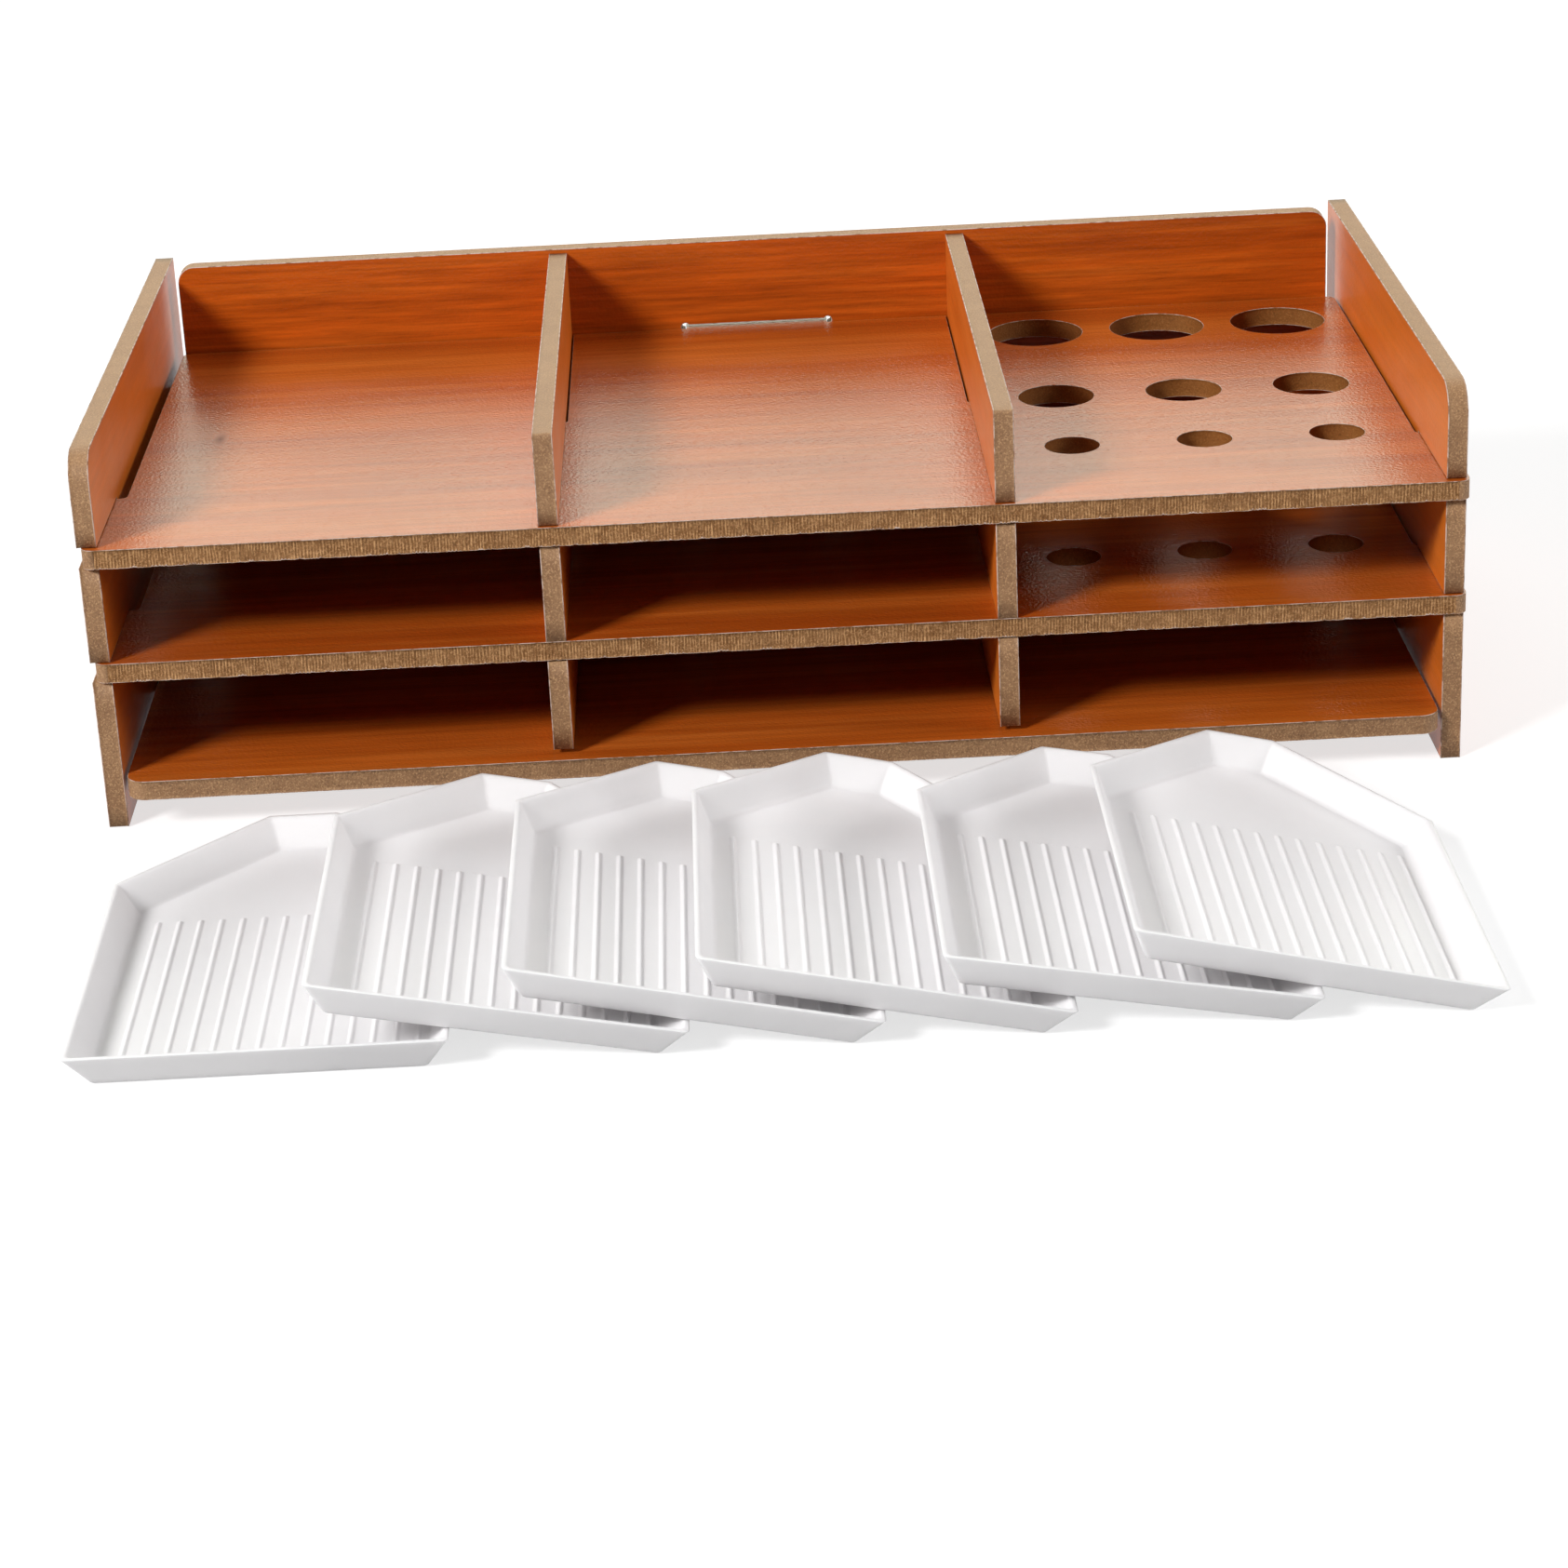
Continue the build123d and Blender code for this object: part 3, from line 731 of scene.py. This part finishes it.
# Rows of the ridged patch: from the wide end's foot, then from the spout, and the ridges' share there.
PATCH_FROM_END = np.array([1.0, 1.35, 1.9])
PATCH_FROM_SPOUT = np.array([-95.0, -70.0, -47.0, -45.9, -45.3, -45.0])
PATCH_FADE = np.array([0.0, 0.8, 1.0, 1.0, 1.0, 1.0, 0.9, 0.4, 0.0])
PATCH_LEFT, PATCH_RIGHT = 1.1, 1.0   # plain strip beside the patch
PATCH_COLUMNS = 441


def house_line(drawn_in):
    """Plan of a tray drawn in by each of the given amounts: spout, two slanted runs, two sides and
    the wide end, every run moved in square to itself and every corner an arc."""
    i = np.asarray(drawn_in, dtype=float)
    w, s, d = TRAY_WIDTH / 2, SPOUT_HALF, SHOULDER
    slope = (w - s) / d
    fall = d / math.hypot(w - s, d)
    tip = s + slope * i - i / fall
    shoulder_y = -(w - i - s + i / fall) / slope
    end = -TRAY_LENGTH + i
    p = np.stack([np.stack([tip, -i], 1), np.stack([-tip, -i], 1), np.stack([i - w, shoulder_y], 1),
                  np.stack([i - w, end], 1), np.stack([w - i, end], 1), np.stack([w - i, shoulder_y], 1)],
                 axis=1)
    start, middle, turn, _ = corner_arcs(p, TRAY_ROUND)
    angle = turn[..., None] * np.linspace(0, 1, ARC_POINTS)
    arc = swung((start - middle)[:, :, None, :], angle) + middle[:, :, None, :]
    return arc.reshape(len(i), -1, 2)


def tray_profile():
    """Section of a tray's wall as (drawn in, height): from the base's edge up the outer face, over a
    rounded rim, down the inner face and through a small hollow, a quadratic curve, into the floor."""
    base = BASE_EDGE + (TRAY_FLARE, 0.0)
    outer = np.stack([TRAY_FLARE - WALL_LEAN * OUTER_HEIGHTS, OUTER_HEIGHTS], 1)
    inner = np.stack([TRAY_WALL + WALL_LEAN * (TRAY_HEIGHT - INNER_HEIGHTS), INNER_HEIGHTS], 1)
    t = np.linspace(0.25, 1, 5)[:, None]
    top, knee, end = inner[-1], np.array([WALL_FOOT, TRAY_FLOOR]), np.array([WALL_FOOT + HOLLOW, TRAY_FLOOR])
    hollow = (1 - t) ** 2 * top + 2 * t * (1 - t) * knee + t ** 2 * end
    return np.concatenate([base, outer, RIM, inner, hollow])


def ridged_floor():
    """The ridged patch of a tray's floor: height is a raised cosine across each ridge, fading out at
    the two ends of the patch."""
    half = TRAY_WIDTH / 2 - WALL_FOOT
    x = np.linspace(-half + PATCH_LEFT, half - PATCH_RIGHT, PATCH_COLUMNS)
    y = np.concatenate([-TRAY_LENGTH + WALL_FOOT + PATCH_FROM_END, PATCH_FROM_SPOUT])
    ridge_x = -half + RIDGE_FIRST + RIDGE_PITCH * np.arange(RIDGES)
    near = np.abs(x[:, None] - ridge_x).min(axis=1)
    height = np.where(near < RIDGE_HALF, RIDGE_HEIGHT / 2 * (1 + np.cos(np.pi * near / RIDGE_HALF)), 0.0)
    grid_x, grid_y = np.meshgrid(x, y)
    return np.stack([grid_x, grid_y, TRAY_FLOOR + PATCH_FADE[:, None] * height], axis=-1)


def tray(number, x_edge, lean):
    """One tray: the wall section carried round the plan, a base, and a floor with its ridged patch,
    leaned about its right base edge."""
    section = tray_profile()
    plan = house_line(section[:, 0])
    rows, count = plan.shape[:2]
    ring = np.concatenate([plan, np.repeat(section[:, 1][:, None, None], count, axis=1)], axis=2)
    patch = ridged_floor()
    down, across = patch.shape[:2]
    points = np.concatenate([ring.reshape(-1, 3), patch.reshape(-1, 3)])
    at = rows * count + np.arange(down * across).reshape(down, across)
    border = np.concatenate([at[0], at[1:, -1], at[-1, -2::-1], at[-2:0:-1, 0]])[::-1]
    ridged = np.stack([at[:-1, :-1], at[:-1, 1:], at[1:, 1:], at[1:, :-1]], axis=-1).reshape(-1, 4)
    top_row = (rows - 1) * count + np.arange(count)
    level = np.concatenate([top_row, border])[fill_plane([points[top_row, :2], points[border, :2]], True)]
    base = fill_plane([plan[0]], False)
    faces = [ring_faces(count, rows), ridged, level, base]
    kinds = [np.zeros(len(f)) for f in faces]
    smooth = [np.ones(len(faces[0])), np.ones(len(ridged)), np.zeros(len(level)), np.zeros(len(base))]
    angle = math.radians(lean)
    a, z = points[:, 0] - TRAY_EDGE, points[:, 2]
    set_down = np.stack([x_edge + a * math.cos(angle) + z * math.sin(angle), points[:, 1] - ROW_FRONT,
                         z * math.cos(angle) - a * math.sin(angle)], axis=1)
    name = "tray_%d" % number
    lay_piece(name + "_shell", set_down, faces, kinds, smooth, [PLASTIC], name, name)


for number, (x_edge, lean) in enumerate(TRAY_PLACES, 1):
    tray(number, x_edge, lean)


# Floor, light and camera, in metres
FLOOR_RADIUS = 6.0
FLOOR_RINGS, FLOOR_SECTORS = 8, 64
FLOOR_Z = -0.0002        # just under the object, so that the two never share a plane
FLOOR_TONES = (0.42, 0.42, 0.42, 1), (0.40, 0.40, 0.40, 1)
FLOOR_DULL = (0.56, 0.56, 0.56, 1)   # the floor as it lights the object
FLOOR_GLOW = 0.70        # own light that keeps the floor white to the eye
ROOM_FILL = 0.06
GLOW_TINT = (0.94, 0.975, 0.81)
VIEW_TURN, VIEW_DOWN, VIEW_ROLL = 0.707, 22.699, 2.693   # degrees
VIEW_FROM = (-0.011923, -0.916652, 0.378164)
VIEW_LENS, VIEW_SENSOR = 89.05, 36.0   # millimetres


def floor():
    """A wide round white floor: rings of points at radii that grow as the power 1.5 of their number."""
    radius = np.linspace(0, 1, FLOOR_RINGS + 1)[1:] ** 1.5 * FLOOR_RADIUS
    i = np.arange(FLOOR_SECTORS)
    angle = 2 * np.pi * i / FLOOR_SECTORS
    rings = np.stack([radius[:, None] * np.cos(angle), radius[:, None] * np.sin(angle),
                      np.full((FLOOR_RINGS, FLOOR_SECTORS), FLOOR_Z)], axis=-1).reshape(-1, 3)
    points = np.concatenate([rings, [[0, 0, FLOOR_Z]]])
    faces = ring_faces(FLOOR_SECTORS, FLOOR_RINGS)[:, ::-1].tolist()
    faces += np.stack([i, (i + 1) % FLOOR_SECTORS, np.full(FLOOR_SECTORS, len(rings))], 1).tolist()
    mesh = bpy.data.meshes.new("white_floor")
    mesh.from_pydata(points.tolist(), [], faces)
    material, tree, shader = new_material("floor_white")
    tone = noise(tree, object_place(tree), 3.0)
    tree.links.new(blend_colours(tree, tone, *FLOOR_TONES), shader.inputs["Base Color"])
    shader.inputs["Roughness"].default_value = 0.9
    shader.inputs["Specular IOR Level"].default_value = 0.1
    shader.inputs["Emission Color"].default_value = (1, 1, 1, 1)
    shader.inputs["Emission Strength"].default_value = FLOOR_GLOW
    path = place(tree, "ShaderNodeLightPath").outputs
    ray = math_node(tree, "MAXIMUM", path["Is Camera Ray"], path["Is Glossy Ray"])
    dull = place(tree, "ShaderNodeBsdfDiffuse", {"Color": FLOOR_DULL})
    both = place(tree, "ShaderNodeMixShader", {0: ray, 1: dull.outputs[0], 2: shader.outputs[0]})
    tree.links.new(both.outputs[0], tree.get_output_node("ALL").inputs["Surface"])
    mesh.materials.append(material)
    piece = bpy.data.objects.new("white_floor", mesh)
    bpy.context.scene.collection.objects.link(piece)


def soft_light(name, where, at, size, watts, colour=(1, 1, 1), mirrored_only=False):
    """A rectangular soft light that looks at a point; one can show in reflections alone."""
    data = bpy.data.lights.new(name, "AREA")
    data.shape = "RECTANGLE"
    data.size, data.size_y = size
    data.energy = watts
    data.color = colour
    lamp = bpy.data.objects.new(name, data)
    look = Vector(at) - Vector(where)
    lamp.matrix_world = Matrix.Translation(where) @ look.to_track_quat("-Z", "Y").to_matrix().to_4x4()
    lamp.visible_camera = False
    lamp.visible_diffuse = not mirrored_only
    bpy.context.scene.collection.objects.link(lamp)


def surroundings():
    """White to the camera, a weaker even fill to everything else."""
    world = bpy.data.worlds.new("white_room")
    world.use_nodes = True
    tree = world.node_tree
    tree.nodes.clear()
    ray = place(tree, "ShaderNodeLightPath").outputs["Is Camera Ray"]
    strength = spread(tree, ray, 0.0, 1.0, ROOM_FILL, 1.0)
    back = place(tree, "ShaderNodeBackground", {"Color": (1, 1, 1, 1), "Strength": strength})
    out = tree.nodes.new("ShaderNodeOutputWorld")
    tree.links.new(back.outputs[0], out.inputs["Surface"])
    bpy.context.scene.world = world


def camera():
    """The photograph's view: looking down, a little turned and rolled."""
    turn, down, roll = (math.radians(a) for a in (VIEW_TURN, VIEW_DOWN, VIEW_ROLL))
    forward = Vector((math.sin(turn) * math.cos(down), math.cos(turn) * math.cos(down), -math.sin(down)))
    flat = Vector((math.cos(turn), -math.sin(turn), 0))
    up = flat.cross(forward)
    right = flat * math.cos(roll) - up * math.sin(roll)
    above = up * math.cos(roll) + flat * math.sin(roll)
    data = bpy.data.cameras.new("photo_view")
    data.sensor_width = VIEW_SENSOR
    data.lens = VIEW_LENS
    data.clip_end = 50
    eye = bpy.data.objects.new("photo_view", data)
    facing_on = Matrix((right, above, -forward)).transposed().to_4x4()
    eye.matrix_world = Matrix.Translation(VIEW_FROM) @ facing_on
    bpy.context.scene.collection.objects.link(eye)
    bpy.context.scene.camera = eye


floor()
surroundings()
soft_light("key", (-1.90, -1.65, 1.75), at=(0.0, 0.05, 0.03), size=(0.70, 0.70), watts=100)
soft_light("right_fill", (1.7, -0.25, 0.70), at=(0.0, 0.0, 0.06), size=(0.9, 0.7), watts=17)
soft_light("overhead", (0.0, 1.25, 1.7), at=(0.0, 0.0, 0.0), size=(1.6, 1.6), watts=15)
soft_light("back_glow", (0.0, 1.6, 0.95), at=(0.0, 0.0, 0.15), size=(3.2, 1.7), watts=35, colour=GLOW_TINT,
           mirrored_only=True)
camera()
bpy.context.scene.view_settings.view_transform = "Standard"
